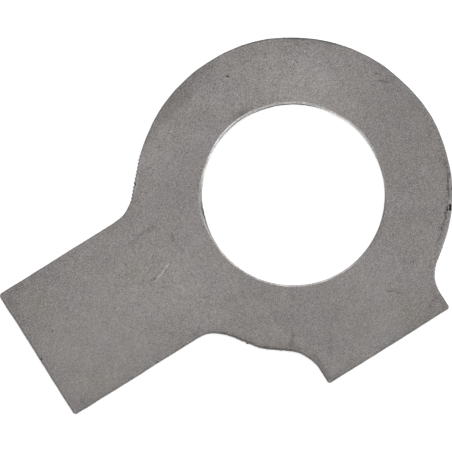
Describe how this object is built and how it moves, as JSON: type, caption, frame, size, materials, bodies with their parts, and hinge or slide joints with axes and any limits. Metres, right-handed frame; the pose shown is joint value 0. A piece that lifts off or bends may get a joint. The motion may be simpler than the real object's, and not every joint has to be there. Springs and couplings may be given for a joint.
{
  "type": "tab lock washer",
  "caption": "Flat steel lock washer: a round ring with a long tab and a short wide tab at a right angle, to be bent over an edge and up against a nut so that neither can turn.",
  "frame": {"origin": "on the bore's axis, at the underside", "axes": "+Z along the bore's axis, out of the face with the rolled-over edges; +X along the long tab; +Y along the short tab"},
  "size_m": [0.064, 0.0469, 0.001],
  "materials": {
    "steel": "matt, plain cold-rolled sheet with blanked edges"
  },
  "bodies": {
    "root": {"tab_washer": "steel"}
  },
  "joints": []
}
